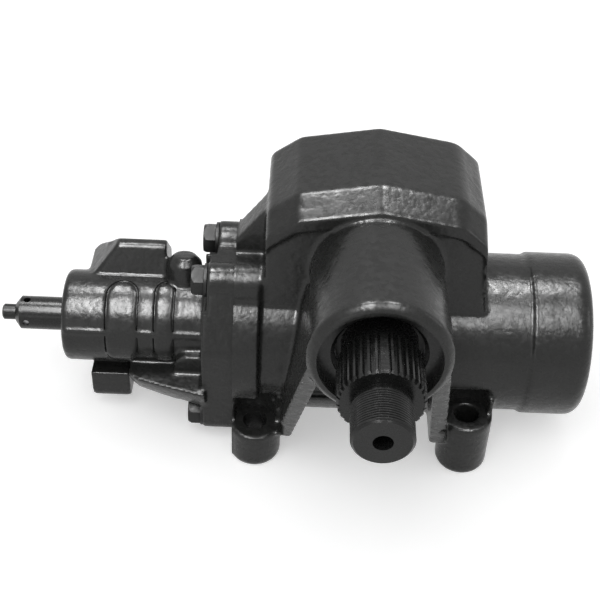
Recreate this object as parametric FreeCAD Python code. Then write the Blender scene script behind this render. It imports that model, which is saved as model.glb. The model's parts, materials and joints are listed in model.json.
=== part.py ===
import FreeCAD, Part
import math
import os

# Power steering gearbox: a cast barrel with a sector chamber, a bolted valve housing, a worm, a rack piston
# and a sector shaft. X runs along the worm, towards the closed end of the barrel. The sector shaft's output
# points along -Y. Z is up, and zero is the plane of the four mounting feet, at the centre of their holes.

Vec = FreeCAD.Vector

# A length past every part of the gearbox, for cuts that go right through
beyond = 400.0

# Main axes
worm_z = 55.0
sector_x = 3.5
sector_z = 118.6

# Mounting feet
foot_half_x = 59.0
foot_half_y = 47.0
foot_r = 14.5
foot_hole_r = 6.75
foot_seat_left = 22.5
foot_seat_right = 35.0
foot_shoulder = 9.0
foot_seat_r = 11.5
foot_tool_height = 15.0
foot_chamfer = 1.5
foot_neck_z = 8.0
foot_ledge = 4.0

# Barrel
barrel_r = 44.8
barrel_bore_r = 38.0
band_r = 46.3
band_start = 91.0
barrel_end = 123.9
barrel_wall = 11.0
belly_r = 48.0
belly_drop = 15.0
belly_left = -50.0
belly_right = 52.0
barrel_round = 7.5
barrel_round_steps = 6
joint_x = -71.7

# Sector chamber
chamber_front = -29.0
chamber_break = -13.5
chamber_back = 39.5
chamber_tail = 45.0
chamber_tail_drop = 5.5
chamber_ridge_z = 163.8
chamber_band_drop = 7.0
chamber_left = -55.5
chamber_right = 59.5
chamber_right_low = 65.0
chamber_shoulder = 42.5
chamber_shoulder_drop = 7.5
chamber_side_drop = 19.5
chamber_corner_r = 14.0
chamber_left_corner_r = 8.0
chamber_ridge_r = 3.0
chamber_base = 78.0
chamber_lip = 1.6
chamber_crown = 7.0
cavity_r = 44.0
cavity_z = 108.6
cavity_front = -22.5
cavity_back = 30.0
cover_mouth_r = 34.5
cover_mouth_wall = 4.45
cover_pad_r = 42.0
cover_face = 46.0
cover_pad_ledge = 8.0

# Sector boss
boss_face = -98.0
boss_r = 36.3
boss_root_r = 34.0
boss_round = 3.0
recess_r = 30.8
recess_depth = 10.0
seal_bore_r = 28.0
seal_bore_depth = 14.0
web_thick = 9.0
web_foot_z = 12.0
web_inset = 0.0
web_toe = 9.0
web_foot_y = -58.0
web_back_y = -25.0
web_drop = 10.0
web_setback = 2.5
web_tuck = 0.5
strut_top_z = 141.5
strut_low_z = 120.0
strut_half_y = 8.0

# Valve housing
valve_r = 26.0
valve_end = -169.0
valve_plate = 17.3
housing_plate = 14.1
neck_collar_r = 49.0
neck_ear_r = 11.5
neck_boss_r = 11.0
plate_half_y = 44.0
plate_waist_z = 68.0
plate_top_z = 103.0
plate_bottom_z = 8.0
plate_round = 7.0
ear_r = 10.0
ear_y = 18.5
ear_z = 100.0
low_bolt_y = 34.0
low_bolt_z = 16.5
valve_bore_r = 20.0
ear_relief_rear = 6.0
ear_relief_front = 2.5
pad_proud = 1.5
pad_one = (-143.2, -127.2)
pad_two = (-116.2, -107.0)
pad_top_z = 74.5
pad_low_z = 31.0
pad_tilt = 41.0
pad_top_round = 0.49
pad_low_round = 0.2
flare_left = -131.0
flare_r = 40.0
flare_mid_x = -113.0
flare_mid_r = 44.0
flare_root_r = 51.0
flare_low_z = 4.0
flare_top_z = 42.0
sump_left = -155.0
sump_right = -133.0
sump_z = 9.5
sump_top_z = 30.0
sump_half_y = 22.0
sump_round = 6.0
lobe_x = -102.0
lobe_r = 10.0
lobe_reach = 36.0
lobe_lean = 14.0
port_block_left = -158.0
port_block_shoulder = -140.0
port_block_right = -112.5
port_block_top = 96.5
port_r = 7.0
port_drill_r = 3.5
port_depth = 11.0
port_x = (-141.0, -121.0)
port_mouth_y = 28.5
port_mouth_z = 86.5
port_drill_depth = 28.0
port_spot = 12.0
input_bearing_r = 14.0
input_seal_r = 15.0
seal_pocket = 9.0
thrust_r = 24.0
thrust_depth = 16.0
joint_seal_r = 39.0
joint_seal_w = 2.2
joint_seal_depth = 2.0

# Fasteners
plate_bolt_r = 5.0
plate_bolt_clearance = 0.4
plate_bolt_grip = 30.0
bolt_head_af = 15.0
bolt_head_h = 7.0
washer_r = 9.2
washer_h = 1.6
cover_bolt_r = 5.0
cover_bolt_margin = 8.0
cover_bolt_angles = (58.0, 128.0, 232.0, 302.0)
cover_bolt_af = 15.0
cover_bolt_head_h = 6.0
cover_bolt_grip = 14.0

# Side cover
cover_plate = 11.0
cover_plate_r = 40.5
cover_ear_r = 9.0
cover_spigot = 9.0
cover_hub_r = 24.0
cover_hub_end = 25.0
adjuster_boss_r = 13.0
adjuster_boss = 5.0
cover_crown_r = 24.0
screw_r = 6.0
screw_neck_r = 5.0
screw_head_h = 3.0
screw_lift = 2.4
nut_h = 8.0
cover_seal = 3.0

# Gear set
module_mm = 6.0
sector_teeth_full = 11
sector_teeth_cut = 3
pressure_angle = 20.0
sector_face = 20.0
rack_backlash = 0.12
tip_relief = 0.6
flank_steps = 5
rack_half = 36.0
rack_reach = 50.0
rack_lead_in = 3.0

# Rack piston and worm
piston_gap = 0.05
piston_left = -42.0
piston_right = 82.0
worm_lead = 12.7
worm_r = 14.2
worm_end = 45.0
worm_thread_left = -56.0
worm_neck_r = 9.0
collar_width = 3.95
collar_r = 22.0
thrust_washer = 5.7
lock_ring_width = 4.0
lock_ring_proud = 2.2
ball_zone = -24.0
ball_r = 3.4
ball_circle_r = 14.8
ball_gap = 0.12
ball_turns = 2.5
balls_per_turn = 8
ball_bands = 6
ball_sides = 10
nut_bore_r = 15.6
plug_r = 16.5
plug_len = 9.0
ring_width = 3.2
ring_depth = 3.0
ring_x = -38.6

# Sector shaft
journal_r = 19.0
spline_r = 21.3
spline_root_r = 19.6
spline_start = -97.0
spline_end = -124.8
spline_teeth = 36
thread_r = 15.0
thread_relief_r = 13.6
thread_relief = 3.0
shaft_tip = -149.2
centre_hole_r = 4.8
centre_hole_depth = 14.0
rear_journal_r = 16.0
rear_journal_end = 48.0
cup_r = 10.0
cup_depth = 8.0

# Running fits and seals
bearing_gap = 0.05
bearing_wall = 5.0
front_bearing = (-72.0, -40.0)
rear_bearing = (27.0, 45.0)
axial_gap = 0.05
oil_seal_w = 10.0
retaining_ring = 1.6
dust_seal_inner_r = 24.0
dust_seal_thick = 3.0

# The cover's mouth leaves its wall above the rear bearing, and the rest of the mouth hangs below the shaft
cover_z = sector_z - (cover_mouth_r - rear_journal_r - bearing_gap - bearing_wall - cover_mouth_wall)
cover_bolt_circle = cover_mouth_r + cover_bolt_margin

# The thrust bearing and its lock ring fill the valve housing's pocket at the joint
collar_left = joint_x - thrust_depth + thrust_washer + axial_gap
collar_right = collar_left + collar_width
lock_ring_right = joint_x + lock_ring_proud
lock_ring_left = lock_ring_right - lock_ring_width

# Input shaft
input_r = 9.525
input_journal_r = 10.0
input_journal_proud = 1.5
input_tip = -198.8
input_shoulder = 3.0
spool_r = 12.0
spool_inset = 2.0
spool_right = -94.0
spool_slots = 6
sleeve_r = 19.95
sleeve_clearance = 2.0
sleeve_right = -90.0
sleeve_rings_count = 4
sleeve_margin_left = 3.0
sleeve_margin_right = 9.5
sleeve_ring_w = 2.0
sleeve_ring_depth = 2.0
sleeve_port_offset = 5.0
sleeve_port_w = 8.0
sleeve_port_depth = 1.5
sleeve_port_r = 2.0
input_bearing_w = 12.0
input_seal_w = 6.0
bar_r = 3.6
bar_end_r = 4.5
bar_tip = -206.6
bar_right = -20.0
pin_r = 2.0
pin_x = -192.0

# The input bearing sits behind the input seal, and the valve's sleeve and spool start behind the bearing
valve_bore_end = valve_end + seal_pocket + input_bearing_w
input_journal_start = valve_end - input_journal_proud
sleeve_left = valve_bore_end + sleeve_clearance
spool_left = sleeve_left + spool_inset
sleeve_ring_span = sleeve_right - sleeve_left - sleeve_margin_left - sleeve_margin_right
sleeve_ring_pitch = sleeve_ring_span / (sleeve_rings_count - 1)
sleeve_ring_x = [sleeve_left + sleeve_margin_left + i * sleeve_ring_pitch for i in range(sleeve_rings_count)]
sleeve_port_x = [x + sleeve_port_offset for x in sleeve_ring_x[:-1]]


def cyl_x(x0, x1, r, y=0.0, z=worm_z):
    return Part.makeCylinder(r, x1 - x0, Vec(x0, y, z), Vec(1, 0, 0))


def cyl_y(y0, y1, r, x=sector_x, z=sector_z):
    return Part.makeCylinder(r, y1 - y0, Vec(x, y0, z), Vec(0, 1, 0))


def cyl_z(z0, z1, r, x, y):
    return Part.makeCylinder(r, z1 - z0, Vec(x, y, z0), Vec(0, 0, 1))


def below(z):
    """All the space under a level."""
    return Part.makeBox(2 * beyond, 2 * beyond, beyond, Vec(-beyond, -beyond, z - beyond))


def left_of(x):
    """All the space to the left of a plane."""
    return Part.makeBox(beyond, 2 * beyond, 2 * beyond, Vec(x - beyond, -beyond, -beyond))


def tube_x(x0, x1, outer, inner):
    return cyl_x(x0, x1, outer).cut(cyl_x(x0 - 1, x1 + 1, inner))


def tube_y(y0, y1, outer, inner):
    return cyl_y(y0, y1, outer).cut(cyl_y(y0 - 1, y1 + 1, inner))


def polygon_face(points):
    return Part.Face(Part.makePolygon(points + [points[0]]))


def outline(points, place):
    """A closed wire through 2D points (a, b, corner radius), placed in space by place(a, b)."""
    count = len(points)
    arcs = []
    for i in range(count):
        here = Vec(points[i][0], points[i][1], 0)
        radius = points[i][2] if len(points[i]) > 2 else 0.0
        if radius == 0.0:
            arcs.append((here, None, here))
            continue
        back = (Vec(points[i - 1][0], points[i - 1][1], 0) - here).normalize()
        ahead = (Vec(points[(i + 1) % count][0], points[(i + 1) % count][1], 0) - here).normalize()
        half = math.acos(max(-1.0, min(1.0, back.dot(ahead)))) / 2
        reach = radius / math.tan(half)
        middle_dir = (back + ahead).normalize()
        middle = here + middle_dir * (radius / math.sin(half) - radius)
        arcs.append((here + back * reach, middle, here + ahead * reach))
    edges = []
    for i in range(count):
        start, middle, end = arcs[i]
        if middle is not None:
            through = [place(point.x, point.y) for point in (start, middle, end)]
            edges.append(Part.Arc(*through).toShape())
        following = arcs[(i + 1) % count][0]
        if (following - end).Length > 1e-6:
            edges.append(Part.LineSegment(place(end.x, end.y), place(following.x, following.y)).toShape())
    return Part.Wire(edges)


def prism_x(yz, x0, x1):
    return Part.Face(outline(yz, lambda y, z: Vec(x0, y, z))).extrude(Vec(x1 - x0, 0, 0))


def prism_y(xz, y0, y1, rise=0.0):
    return Part.Face(outline(xz, lambda x, z: Vec(x, y0, z))).extrude(Vec(0, y1 - y0, rise))


def revolve_x(xr):
    face = polygon_face([Vec(x, 0, worm_z + r) for x, r in xr])
    return face.revolve(Vec(0, 0, worm_z), Vec(1, 0, 0), 360)


def revolve_y(yr):
    face = polygon_face([Vec(sector_x, y, sector_z + r) for y, r in yr])
    return face.revolve(Vec(sector_x, 0, sector_z), Vec(0, 1, 0), 360)


def union(shapes):
    return shapes[0].multiFuse(shapes[1:]).removeSplitter()


def edges_where(shape, test):
    return [edge for edge in shape.Edges if test(edge)]


def hexagon_x(x0, x1, across_flats, y, z):
    corner = across_flats / math.sqrt(3)
    ring = [(y + corner * math.cos(math.radians(60 * i)), z + corner * math.sin(math.radians(60 * i)))
            for i in range(6)]
    return prism_x(ring, x0, x1)


def hexagon_y(y0, y1, across_flats, x, z):
    corner = across_flats / math.sqrt(3)
    ring = [(x + corner * math.cos(math.radians(60 * i)), z + corner * math.sin(math.radians(60 * i)))
            for i in range(6)]
    return prism_y(ring, y0, y1)


def plate_outline():
    """Outline of the joint flange: two ears above, sloping shoulders, and upright sides."""
    half = [(ear_y + 0.8 * ear_r, ear_z + 0.4 * ear_r), (plate_half_y, plate_waist_z, plate_round),
            (plate_half_y, plate_bottom_z, plate_round)]
    other = [(-p[0], *p[1:]) for p in reversed(half)]
    return [(-ear_y, plate_top_z), (ear_y, plate_top_z)] + half + other


def plate_bolts():
    return [(-ear_y, ear_z), (ear_y, ear_z), (-low_bolt_y, low_bolt_z), (low_bolt_y, low_bolt_z)]


def flange(x0, x1):
    plate = prism_x(plate_outline(), x0, x1)
    return union([plate] + [cyl_x(x0, x1, ear_r, y, ear_z) for y in (-ear_y, ear_y)])


def chamber_profile(drop=0.0):
    """Gabled outline of the sector chamber with round shoulders, lowered by drop above its base."""
    ridge = chamber_ridge_z - drop
    eaves = ridge - chamber_side_drop
    shoulder = ridge - chamber_shoulder_drop
    return [(sector_x, ridge, chamber_ridge_r), (sector_x + chamber_shoulder, shoulder, chamber_corner_r),
            (chamber_right, eaves, chamber_corner_r / 2), (chamber_right_low, chamber_base),
            (chamber_left, chamber_base), (chamber_left, eaves, chamber_corner_r / 2),
            (sector_x - chamber_shoulder, shoulder, chamber_left_corner_r)]


def chamber_outer():
    """The chamber's block, its front edge sloped down all round the gable over a slightly sunk wall."""
    block = prism_y(chamber_profile(), chamber_break, chamber_back)
    slope = prism_y(chamber_profile(), chamber_break, chamber_front, -chamber_band_drop)
    slope = slope.cut(below(chamber_base))
    sunk = prism_y(chamber_profile(chamber_band_drop + chamber_crown), chamber_front - 1.0,
                   chamber_front + chamber_lip)
    tail = prism_y(chamber_profile(), chamber_back, chamber_tail, -chamber_tail_drop)
    tail = tail.cut(below(chamber_base))
    return union([block, slope.cut(sunk), tail])


def foot(side_x, side_y, seat):
    """A vertical column with its bolt hole, a spot-faced seat and a shoulder against the barrel."""
    x = side_x * foot_half_x
    y = side_y * foot_half_y
    column = cyl_z(0.0, seat + foot_shoulder, foot_r, x, y)
    column = column.makeChamfer(foot_chamfer, edges_where(column, lambda e: abs(e.CenterOfMass.z) < 0.01))
    neck = Part.makeBox(2 * foot_r, foot_half_y, seat + foot_shoulder - foot_neck_z,
                        Vec(x - foot_r, -foot_half_y if side_y < 0 else 0.0, foot_neck_z))
    clear = cyl_z(seat, seat + foot_tool_height, foot_seat_r, x, y)
    outer = Part.makeBox(2 * foot_r + 2, foot_r + foot_ledge, foot_tool_height,
                         Vec(x - foot_r - 1, y - foot_r - foot_ledge if side_y < 0 else y, seat))
    return column.fuse(neck), clear.fuse(outer), cyl_z(-1.0, seat + foot_tool_height, foot_hole_r, x, y)


def web(side):
    """A sloping web from the flank of the sector boss down to a front foot."""
    top_z = sector_z - web_drop
    top_x = sector_x + side * (boss_r - web_thick / 2 - web_tuck)
    low_x = side * (foot_half_x - foot_r - web_inset)
    lean = math.degrees(math.atan2(abs(low_x - top_x), top_z - web_foot_z))
    yz = [(boss_face + web_setback, top_z), (web_foot_y, web_foot_z + web_toe),
          (web_foot_y + web_toe, web_foot_z), (web_back_y, web_foot_z), (web_back_y, top_z)]
    plate = prism_x(yz, top_x - web_thick / 2, top_x + web_thick / 2)
    plate.rotate(Vec(top_x, 0, top_z), Vec(0, 1, 0), -side * lean)
    return plate


def boss():
    profile = [(0.0, 0.0), (0.0, boss_root_r), (boss_face + 6.0, boss_r), (boss_face + boss_round, boss_r),
               (boss_face, boss_r - boss_round), (boss_face, 0.0)]
    return revolve_y(profile)


def joint_collar():
    """The housing's side of the joint: a round collar with two ears above and two bolt bosses below."""
    x1 = joint_x + housing_plate
    parts = [cyl_x(joint_x, x1, neck_collar_r)]
    parts += [cyl_x(joint_x, x1, neck_ear_r if z > worm_z else neck_boss_r, y, z) for y, z in plate_bolts()]
    for side in (-1, 1):
        parts.append(prism_x([(0.0, worm_z), (side * (ear_y + neck_ear_r - 3.0), ear_z),
                              (side * (neck_collar_r - 3.0), worm_z + 8.0)], joint_x, x1))
        parts.append(prism_x([(0.0, worm_z), (side * (low_bolt_y + neck_boss_r - 2.0), low_bolt_z + 6.0),
                              (side * (low_bolt_y - 6.0), low_bolt_z - neck_boss_r + 2.0)], joint_x, x1))
    ear_top = ear_z + neck_ear_r
    parts.append(prism_x([(-ear_y, ear_z), (ear_y, ear_z), (ear_y, ear_top), (-ear_y, ear_top)], joint_x, x1))
    return union(parts)


def strut():
    """The sloping shoulder between the chamber and the joint flange."""
    inside = chamber_left + 6.0
    xz = [(inside, strut_top_z), (chamber_left, strut_top_z), (joint_x, strut_low_z), (joint_x, ear_z - 8.0),
          (inside, ear_z - 8.0)]
    return prism_y(xz, -strut_half_y, strut_half_y)


def cover_pad(y0, y1, r, ear):
    pads = [cyl_y(y0, y1, r, sector_x, cover_z)]
    pads += [cyl_y(y0, y1, ear, x, z) for x, z in cover_bolt_places()]
    return union(pads)


def cover_bolt_places():
    places = []
    for angle in cover_bolt_angles:
        a = math.radians(angle)
        places.append((sector_x + cover_bolt_circle * math.sin(a), cover_z + cover_bolt_circle * math.cos(a)))
    return places


def gear_housing():
    barrel = cyl_x(joint_x + 2.0, band_start + 1.0, barrel_r)
    steps = [math.radians(90 * i / barrel_round_steps) for i in range(barrel_round_steps + 1)]
    nose = [(barrel_end - barrel_round * (1 - math.cos(a)), band_r - barrel_round * (1 - math.sin(a)))
            for a in steps]
    band = revolve_x([(band_start, 0.0), (barrel_end, 0.0)] + nose + [(band_start, band_r)])
    belly = revolve_x([(belly_left, 0.0), (belly_left + 3.0, belly_r), (belly_right - 3.0, belly_r),
                       (belly_right, 0.0)])
    belly = belly.common(below(worm_z - belly_drop))
    pad = cover_pad(chamber_back - cover_pad_ledge, cover_face, cover_pad_r, cover_ear_r)
    solids = [barrel, belly, band, chamber_outer(), boss(), joint_collar(), strut(), pad, web(-1), web(1)]
    cuts = []
    for side_x in (-1, 1):
        for side_y in (-1, 1):
            body, seat, hole = foot(side_x, side_y, foot_seat_left if side_x < 0 else foot_seat_right)
            solids.append(body)
            cuts += [seat, hole]
    housing = union(solids)
    cuts += [cyl_x(joint_x - 1.0, barrel_end - barrel_wall, barrel_bore_r),
             cyl_y(cavity_front, cavity_back, cavity_r, sector_x, cavity_z),
             cyl_y(cavity_back - 1.0, cover_face + 1.0, cover_mouth_r, sector_x, cover_z),
             cyl_y(boss_face - 1.0, boss_face + recess_depth, recess_r),
             cyl_y(boss_face, boss_face + recess_depth + seal_bore_depth, seal_bore_r),
             cyl_y(boss_face, cavity_front + 1.0, journal_r + bearing_gap + bearing_wall)]
    cuts.append(left_of(joint_x))
    for y, z in plate_bolts():
        cuts.append(cyl_x(joint_x - 1.0, joint_x + housing_plate + 1.0, plate_bolt_r, y, z))
    for x, z in cover_bolt_places():
        cuts.append(cyl_y(cover_face - cover_bolt_grip, cover_face + 1.0, cover_bolt_r, x, z))
    return housing.cut(cuts)


def bolt_x(face_x, grip, radius, across_flats, head, y, z):
    """A hexagon bolt along X with a washer face, its head to the left of face_x."""
    shank = cyl_x(face_x, face_x + grip, radius, y, z)
    washer = cyl_x(face_x - washer_h, face_x, washer_r, y, z)
    cap = hexagon_x(face_x - washer_h - head, face_x - washer_h, across_flats, y, z)
    return cap.fuse([washer, shank]).removeSplitter()


def ear_relief(side):
    """The upper ears of the valve flange are thinner than its plate, the rear one most."""
    depth = ear_relief_rear if side > 0 else ear_relief_front
    low_y = 1.0 if side > 0 else -41.0
    return Part.makeBox(depth + 1.0, 40.0, 40.0, Vec(joint_x - valve_plate - 1.0, low_y, ear_z - ear_r - 2.0))


def bolt_face(y, z):
    """Where a valve flange bolt's head seats."""
    if z < worm_z:
        return joint_x - valve_plate
    return joint_x - valve_plate + (ear_relief_rear if y > 0 else ear_relief_front)


def valve_pad(span, top_z):
    """A raised pad with a round top on the front of the valve cylinder."""
    width = span[1] - span[0]
    top_round = width * pad_top_round
    low_round = width * pad_low_round
    points = [(span[0], pad_low_z, low_round), (span[0], top_z, top_round), (span[1], top_z, top_round),
              (span[1], pad_low_z, low_round)]
    slab = prism_y(points, -valve_r - 10.0, -4.0)
    slab.rotate(Vec(0, 0, worm_z), Vec(1, 0, 0), -pad_tilt)
    return slab.common(cyl_x(span[0] - 1, span[1] + 1, valve_r + pad_proud))


def port_block():
    """The block for the two hose ports: upright towards the output side, sloped back to the ports."""
    profile = [(6.0, worm_z), (6.0, worm_z + 24.0), (14.0, port_block_top, 3.5), (20.0, port_block_top, 3.0),
               (38.0, worm_z + 22.0, 4.0), (24.0, worm_z)]
    body = prism_x(profile, port_block_left, port_block_right)
    slope = [(port_block_left - 1, worm_z + 20.0), (port_block_left - 1, port_block_top + 5),
             (port_block_shoulder + 4.0, port_block_top + 5), (port_block_left, worm_z + 20.0)]
    return body.cut(prism_y(slope, 0.0, 60.0))


def port_hole(x, radius, depth, spot):
    """A hole into the block's sloped back face, which also clears a length of spot in front of the face."""
    axis = Vec(0, 1, 1).normalize()
    mouth = Vec(x, port_mouth_y, port_mouth_z)
    return Part.makeCylinder(radius, depth + spot, mouth - axis * depth, axis)


def valve_housing():
    edge = joint_x - valve_plate
    barrel = cyl_x(valve_end, joint_x, valve_r)
    barrel = barrel.makeChamfer(1.5, edges_where(barrel, lambda e: abs(e.CenterOfMass.x - valve_end) < 0.01))
    flare = revolve_x([(flare_left, 0.0), (flare_left, flare_r - 4.0), (flare_left + 5.0, flare_r),
                       (flare_mid_x, flare_mid_r), (edge + 2.0, flare_root_r), (edge + 2.0, 0.0)])
    flare = flare.common(below(flare_top_z)).cut(below(flare_low_z))
    sump = prism_x([(-sump_half_y, sump_top_z), (-sump_half_y, sump_z, sump_round),
                    (sump_half_y, sump_z, sump_round), (sump_half_y, sump_top_z)], sump_left, sump_right)
    side = prism_y([(edge - 16.0, 24.0, 4.0), (edge - 16.0, worm_z - 1.0, 6.0), (edge + 1.0, worm_z - 1.0),
                    (edge + 1.0, 24.0)], -valve_r - 6.0, valve_r + 6.0)
    lean = Vec(0, math.sin(math.radians(lobe_lean)), math.cos(math.radians(lobe_lean)))
    lobe = Part.makeCylinder(lobe_r, lobe_reach, Vec(lobe_x, 0, worm_z), lean)
    dome_base = Vec(lobe_x, 0, worm_z) + lean * lobe_reach
    lobe = lobe.fuse(Part.makeCone(lobe_r, lobe_r * 0.6, lobe_r * 0.45, dome_base, lean))
    solids = [barrel, flare, sump, side, lobe, port_block(), flange(edge, joint_x),
              valve_pad(pad_one, pad_top_z), valve_pad(pad_two, pad_top_z)]
    body = union(solids)
    cuts = [ear_relief(-1), ear_relief(1), cyl_x(valve_bore_end, joint_x + 1, valve_bore_r),
            cyl_x(valve_end + 1, valve_bore_end + 1, input_bearing_r),
            cyl_x(valve_end - 1, valve_end + seal_pocket, input_seal_r),
            cyl_x(joint_x - thrust_depth, joint_x + 1, thrust_r)]
    cuts.append(tube_x(joint_x - joint_seal_depth, joint_x + 1, joint_seal_r + joint_seal_w, joint_seal_r))
    for y, z in plate_bolts():
        cuts.append(cyl_x(edge - 1, joint_x + 1, plate_bolt_r + plate_bolt_clearance, y, z))
    for y, z in plate_bolts()[2:]:
        cuts.append(cyl_x(edge - 14.0, edge, washer_r + 1.2, y, z))
    for x in port_x:
        cuts.append(port_hole(x, port_r, port_depth, port_spot))
        cuts.append(port_hole(x, port_drill_r, port_drill_depth, 0.0))
    return body.cut(cuts)


def valve_housing_bolts():
    bolts = []
    for y, z in plate_bolts():
        face = bolt_face(y, z)
        grip = joint_x + plate_bolt_grip - valve_plate - face
        bolts.append(bolt_x(face, grip, plate_bolt_r - 0.05, bolt_head_af, bolt_head_h, y, z))
    return Part.makeCompound(bolts)


def valve_joint_seal():
    return tube_x(joint_x - joint_seal_depth, joint_x, joint_seal_r + joint_seal_w, joint_seal_r)


def seal_ring(start, outer):
    """The square ring in the cover's spigot, from its inner radius out to outer."""
    inner = cover_mouth_r - cover_seal
    ring = cyl_y(start, start + cover_seal, outer, sector_x, cover_z)
    return ring.cut(cyl_y(start - 1, start + cover_seal + 1, inner, sector_x, cover_z))


def side_cover():
    outer = cover_face + cover_plate
    plate = cover_pad(cover_face, outer, cover_plate_r, cover_ear_r)
    spigot = cyl_y(cover_face - cover_spigot, cover_face, cover_mouth_r - 0.1, sector_x, cover_z)
    hub = cyl_y(cover_hub_end, cover_face, cover_hub_r)
    raised = cyl_y(outer, outer + adjuster_boss, adjuster_boss_r)
    crown = Part.makeCone(cover_crown_r + 4.0, cover_crown_r, 3.0, Vec(sector_x, outer, cover_z),
                          Vec(0, 1, 0))
    body = union([plate, spigot, hub, raised, crown])
    cuts = [cyl_y(cover_hub_end - 1, rear_bearing[1] + 5.0, rear_journal_r + bearing_gap + bearing_wall),
            cyl_y(cover_hub_end, outer + adjuster_boss + 1, screw_r)]
    start = cover_face - cover_spigot / 2 - cover_seal / 2
    cuts.append(seal_ring(start, cover_mouth_r + 1))
    cuts += [cyl_y(cover_face - 1, outer + 5, cover_bolt_r + plate_bolt_clearance, x, z)
             for x, z in cover_bolt_places()]
    cuts += [cyl_y(outer, outer + 6, cover_bolt_af * 0.72, x, z) for x, z in cover_bolt_places()]
    return body.cut(cuts)


def side_cover_bolts():
    bolts = []
    outer = cover_face + cover_plate
    for x, z in cover_bolt_places():
        shank = cyl_y(cover_face - cover_bolt_grip + 2.0, outer, cover_bolt_r - 0.05, x, z)
        cap = hexagon_y(outer + 1.0, outer + 1.0 + cover_bolt_head_h, cover_bolt_af, x, z)
        collar = cyl_y(outer, outer + 1.0, cover_bolt_af * 0.62, x, z)
        bolts.append(shank.fuse([cap, collar]).removeSplitter())
    return Part.makeCompound(bolts)


def side_cover_seal():
    return seal_ring(cover_face - cover_spigot / 2 - cover_seal / 2, cover_mouth_r)


def adjuster_screw():
    outer = cover_face + cover_plate + adjuster_boss
    shank = cyl_y(rear_journal_end + 0.2, outer + nut_h + 6.0, screw_r - 0.05)
    head_start = rear_journal_end - cup_depth + screw_lift
    head = cyl_y(head_start, head_start + screw_head_h, cup_r - 1.0)
    neck = cyl_y(head_start, rear_journal_end + 1.0, screw_neck_r)
    body = union([shank, head, neck])
    socket = hexagon_y(outer + nut_h + 2.0, outer + nut_h + 7.0, 5.0, sector_x, sector_z)
    return body.cut(socket)


def adjuster_locknut():
    start = cover_face + cover_plate + adjuster_boss
    nut = hexagon_y(start, start + nut_h, 19.0, sector_x, sector_z)
    return nut.cut(cyl_y(start - 1, start + nut_h + 1, screw_r))


def adjuster_retainer():
    """A staked ring that keeps the adjuster's head in the sector shaft's cup."""
    start = rear_journal_end - cup_depth + screw_lift + screw_head_h + 0.2
    return tube_y(start, rear_journal_end, cup_r, screw_neck_r + 0.3)


def tooth_half_angle(radius):
    """Half the sector tooth's width at a radius, as an angle."""
    pitch_r = module_mm * sector_teeth_full / 2
    base_r = pitch_r * math.cos(math.radians(pressure_angle))
    here = math.acos(min(1.0, base_r / max(radius, base_r)))
    at_pitch = math.radians(pressure_angle)
    spread = (math.tan(at_pitch) - at_pitch) - (math.tan(here) - here)
    return (math.pi * module_mm / 2 - rack_backlash) / (2 * pitch_r) + spread


def sector_gear():
    pitch_r = module_mm * sector_teeth_full / 2
    root_r = pitch_r - 1.25 * module_mm
    tip_r = pitch_r + module_mm - tip_relief
    base_r = pitch_r * math.cos(math.radians(pressure_angle))
    pitch = 2 * math.pi / sector_teeth_full
    hub = cyl_y(-sector_face, sector_face, root_r)
    teeth = []
    radii = [root_r - 2.0] + [base_r + (tip_r - base_r) * i / flank_steps for i in range(flank_steps + 1)]
    for i in range(sector_teeth_cut):
        centre = -math.pi / 2 + (i - (sector_teeth_cut - 1) / 2) * pitch
        flank = [(r, tooth_half_angle(r)) for r in radii]
        ring = [(centre - h, r) for r, h in flank] + [(centre + h, r) for r, h in reversed(flank)]
        points = [(sector_x + r * math.cos(a), sector_z + r * math.sin(a)) for a, r in ring]
        teeth.append(prism_y(points, -sector_face, sector_face))
    return union([hub] + teeth)


def sector_shaft():
    front = revolve_y([(-sector_face - 0.5, 0.0), (-sector_face - 0.5, journal_r),
                       (spline_start + 1.5, journal_r), (spline_start, spline_root_r),
                       (spline_end, spline_root_r), (spline_end, thread_relief_r),
                       (spline_end - thread_relief, thread_relief_r),
                       (spline_end - thread_relief - 1.0, thread_r), (shaft_tip + 1.5, thread_r),
                       (shaft_tip, thread_r - 1.5), (shaft_tip, 0.0)])
    rear = revolve_y([(-sector_face - 1.0, 0.0), (-sector_face - 1.0, journal_r),
                      (sector_face + 1.0, journal_r), (sector_face + 2.0, rear_journal_r),
                      (rear_journal_end, rear_journal_r), (rear_journal_end, 0.0)])
    body = union([sector_gear(), front, rear, spline()])
    centre = cyl_y(shaft_tip - 1, shaft_tip + centre_hole_depth, centre_hole_r)
    cup = cyl_y(rear_journal_end - cup_depth, rear_journal_end + 1, cup_r)
    return body.cut([centre, cup])


def spline():
    """Straight teeth round the shaft, with four wide blind teeth that set the arm's position."""
    pitch = 2 * math.pi / spline_teeth
    ring = []
    for i in range(spline_teeth):
        centre = i * pitch
        wide = i % (spline_teeth // 4) == 0
        half = pitch * (0.5 if wide else 0.27)
        top = pitch * (0.5 if wide else 0.15)
        ring += [(spline_root_r - 0.3, centre - half), (spline_r, centre - top), (spline_r, centre + top),
                 (spline_root_r - 0.3, centre + half)]
    points = [(sector_x + r * math.cos(a), sector_z + r * math.sin(a)) for r, a in ring]
    teeth = prism_y(points, spline_end, spline_start)
    ends = revolve_y([(spline_end, 0.0), (spline_end, spline_r - 1.2), (spline_end + 1.2, spline_r),
                      (spline_start - 2.5, spline_r), (spline_start, spline_root_r - 0.2),
                      (spline_start, 0.0)])
    return teeth.common(ends)


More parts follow.
